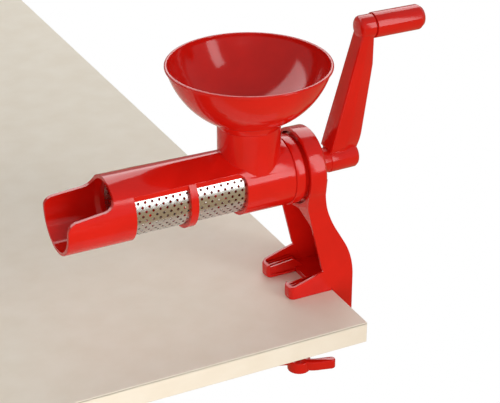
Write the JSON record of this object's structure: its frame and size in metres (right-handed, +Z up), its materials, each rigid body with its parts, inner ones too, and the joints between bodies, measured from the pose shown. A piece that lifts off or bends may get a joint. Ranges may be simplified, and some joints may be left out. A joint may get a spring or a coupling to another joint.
{
  "type": "tomato strainer",
  "caption": "Hand-cranked tomato strainer: round hopper over a horizontal barrel with a perforated strainer, open spout, crank and table clamp.",
  "frame": {"origin": "middle of the seat between the two feet, on the plane that rests on the table", "axes": "+X along the barrel towards the crank, -X towards the spout, +Z up from the table"},
  "size_m": [0.3826, 0.1576, 0.381],
  "materials": {
    "red_plastic": "glossy moulded",
    "stainless": "bright perforated stainless",
    "nylon": "satin",
    "rubber": "matte",
    "plated_steel": "zinc plated",
    "brass": "machined"
  },
  "bodies": {
    "stand": {"clamp_frame": "red_plastic", "shaft_bush": "nylon", "shaft_seal": "rubber", "housing_gasket": "rubber", "thread_nut": "brass"},
    "barrel": {"barrel_housing": "red_plastic", "strainer_screen": "stainless"},
    "hopper": {"hopper_bowl": "red_plastic"},
    "crank": {"drive_shaft": "plated_steel", "feed_screw": "red_plastic", "thrust_washer": "nylon", "crank_arm": "red_plastic", "crank_washer": "plated_steel", "crank_screw": "plated_steel", "grip_axle": "plated_steel", "grip_washer": "nylon"},
    "grip": {"handle_grip": "red_plastic", "grip_plug": "red_plastic"},
    "pad": {"clamp_pad": "plated_steel", "pad_clip": "plated_steel", "pad_liner": "rubber"},
    "screw": {"clamp_screw": "plated_steel", "clamp_knob": "red_plastic", "knob_pin": "plated_steel"}
  },
  "joints": [
    {"name": "crank_spin", "type": "hinge", "parent": "stand", "child": "crank", "pos_m": [0, 0, 0.129], "axis": [1, 0, 0], "continuous": true},
    {"name": "grip_spin", "type": "hinge", "parent": "crank", "child": "grip", "pos_m": [0.09, 0, 0.2615], "axis": [1, 0, 0], "continuous": true},
    {"name": "barrel_twist", "type": "hinge", "parent": "stand", "child": "barrel", "pos_m": [-0.02, 0, 0.129], "axis": [1, 0, 0], "range_deg": [0, 40]},
    {"name": "bowl_lift", "type": "slide", "parent": "barrel", "child": "hopper", "axis": [0, 0, 1], "range_m": [0, 0.06]},
    {"name": "clamp_travel", "type": "slide", "parent": "stand", "child": "pad", "axis": [0, 0, 1], "range_m": [-0.026, 0.019]},
    {"name": "clamp_turn", "type": "hinge", "parent": "pad", "child": "screw", "pos_m": [-0.0115, 0, -0.06], "axis": [0, 0, 1], "range_deg": [-3121, 2281]}
  ],
  "couplings": [
    {"joint": "clamp_turn", "follows": "clamp_travel", "rad_per_m": 2094.4}
  ]
}
